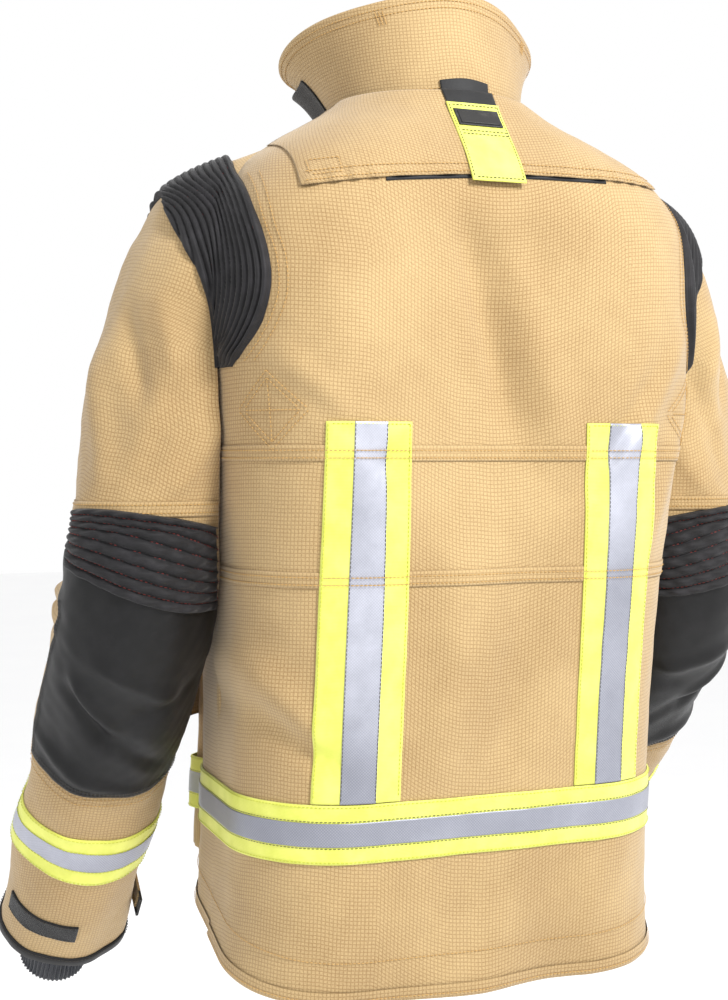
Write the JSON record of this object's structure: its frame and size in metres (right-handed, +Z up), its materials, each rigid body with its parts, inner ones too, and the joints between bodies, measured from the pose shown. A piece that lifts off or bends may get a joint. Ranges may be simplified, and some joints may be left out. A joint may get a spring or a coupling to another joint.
{
  "type": "turnout coat",
  "caption": "Firefighter's turnout coat, hanging as worn: lined body with standing collar, bent sleeves with elbow and shoulder pads, reflective tapes, pockets and rescue tab.",
  "frame": {"origin": "centre of the neck opening at the height of the collar seam", "axes": "+Z up, front of the coat towards -Y, wearer's left towards +X"},
  "size_m": [0.7234, 0.522, 0.9574],
  "materials": {
    "ripstop": "golden tan ripstop weave, matt",
    "liner": "quilted thermal liner",
    "neon": "fluorescent yellow tape",
    "silver": "silver grey retroreflective strip",
    "pad": "charcoal corded pad with dark red stitching",
    "patch": "smooth black coated reinforcement",
    "hook_loop": "black hook and loop pile",
    "webbing": "black webbing",
    "knit": "navy black rib knit",
    "badge": "dark grey moulded rubber",
    "zip_cloth": "black zip tape",
    "zip_plastic": "black moulded zip chain",
    "zip_metal": "brushed zip metal"
  },
  "bodies": {
    "torso": {"back_panel": "ripstop", "left_front_panel": "ripstop", "right_front_panel": "ripstop", "back_yoke": "ripstop", "back_liner": "liner", "left_front_liner": "liner", "right_front_liner": "liner", "back_tapes": "neon", "back_tape_silver": "silver", "hem_tape": "neon", "hem_tape_silver": "silver", "left_pocket": "ripstop", "right_pocket": "ripstop", "zip_tapes": "zip_cloth", "zip_chain": "zip_plastic", "zip_guard": "ripstop", "collar_outer": "ripstop", "collar_lining": "ripstop", "throat_loop_patch": "hook_loop", "hang_loop": "webbing", "rescue_strap": "webbing", "left_shoulder_pad": "pad", "right_shoulder_pad": "pad"},
    "zip_slider": {"zip_slider": "zip_metal"},
    "zip_pull": {"zip_pull": "zip_metal"},
    "throat_tab": {"throat_tab": "ripstop"},
    "rescue_tab": {"rescue_tab": "neon", "rescue_badge": "badge"},
    "left_pocket_flap": {"left_pocket_flap": "ripstop"},
    "right_pocket_flap": {"right_pocket_flap": "ripstop"},
    "left_upper_arm": {"left_upper_sleeve": "ripstop", "left_upper_sleeve_liner": "liner", "left_elbow_sleeve": "ripstop", "left_elbow_ribs": "pad"},
    "left_forearm": {"left_forearm_sleeve": "ripstop", "left_forearm_liner": "liner", "left_elbow_patch": "patch", "left_sleeve_tape": "neon", "left_sleeve_tape_silver": "silver", "left_cuff_binding": "webbing", "left_wristlet": "knit", "left_cuff_strip": "hook_loop"},
    "left_cuff_tab": {"left_cuff_tab": "ripstop"},
    "right_upper_arm": {"right_upper_sleeve": "ripstop", "right_upper_sleeve_liner": "liner", "right_elbow_sleeve": "ripstop", "right_elbow_ribs": "pad"},
    "right_forearm": {"right_forearm_sleeve": "ripstop", "right_forearm_liner": "liner", "right_elbow_patch": "patch", "right_sleeve_tape": "neon", "right_sleeve_tape_silver": "silver", "right_cuff_binding": "webbing", "right_wristlet": "knit", "right_cuff_strip": "hook_loop"},
    "right_cuff_tab": {"right_cuff_tab": "ripstop"}
  },
  "joints": [
    {"name": "left_shoulder", "type": "hinge", "parent": "torso", "child": "left_upper_arm", "pos_m": [0.205, 0.018, -0.11], "axis": [0, -1, 0], "range_deg": [0, 60], "deforming": ["left_upper_sleeve", "left_shoulder_pad"]},
    {"name": "left_elbow", "type": "hinge", "parent": "left_upper_arm", "child": "left_forearm", "pos_m": [0.278, 0, -0.47], "axis": [-1, 0, 0], "range_deg": [-25, 60], "deforming": ["left_elbow_sleeve", "left_elbow_ribs"]},
    {"name": "right_shoulder", "type": "hinge", "parent": "torso", "child": "right_upper_arm", "pos_m": [-0.205, 0.018, -0.11], "axis": [0, 1, 0], "range_deg": [0, 60], "deforming": ["right_upper_sleeve", "right_shoulder_pad"]},
    {"name": "right_elbow", "type": "hinge", "parent": "right_upper_arm", "child": "right_forearm", "pos_m": [-0.278, 0, -0.47], "axis": [-1, 0, 0], "range_deg": [-20, 45], "deforming": ["right_elbow_sleeve", "right_elbow_ribs"]},
    {"name": "zip_slide", "type": "slide", "parent": "torso", "child": "zip_slider", "axis": [0, -0.0993, -0.9951], "range_m": [0, 0.68]},
    {"name": "zip_pull_swing", "type": "hinge", "parent": "zip_slider", "child": "zip_pull", "pos_m": [0, -0.09035, -0.01328], "axis": [-1, 0, 0], "range_deg": [0, 90]},
    {"name": "throat_tab_peel", "type": "hinge", "parent": "torso", "child": "throat_tab", "pos_m": [-0.075, -0.08, 0.014], "axis": [0, 0.8456, -0.5338], "range_deg": [0, 110]},
    {"name": "rescue_tab_lift", "type": "hinge", "parent": "torso", "child": "rescue_tab", "pos_m": [0, 0.104, -0.003], "axis": [1, 0, 0], "range_deg": [0, 85]},
    {"name": "left_pocket_flap_lift", "type": "hinge", "parent": "torso", "child": "left_pocket_flap", "pos_m": [0.117, -0.1632, -0.511], "axis": [-1, 0, 0], "range_deg": [0, 110]},
    {"name": "left_cuff_tab_peel", "type": "hinge", "parent": "left_forearm", "child": "left_cuff_tab", "pos_m": [0.24119, -0.20784, -0.75708], "axis": [-0.0749, 0.5618, 0.8239], "range_deg": [0, 110]},
    {"name": "right_pocket_flap_lift", "type": "hinge", "parent": "torso", "child": "right_pocket_flap", "pos_m": [-0.117, -0.1632, -0.511], "axis": [-1, 0, 0], "range_deg": [0, 110]},
    {"name": "right_cuff_tab_peel", "type": "hinge", "parent": "right_forearm", "child": "right_cuff_tab", "pos_m": [-0.21658, -0.24985, -0.74099], "axis": [-0.0048, -0.6577, -0.7533], "range_deg": [0, 110]}
  ]
}
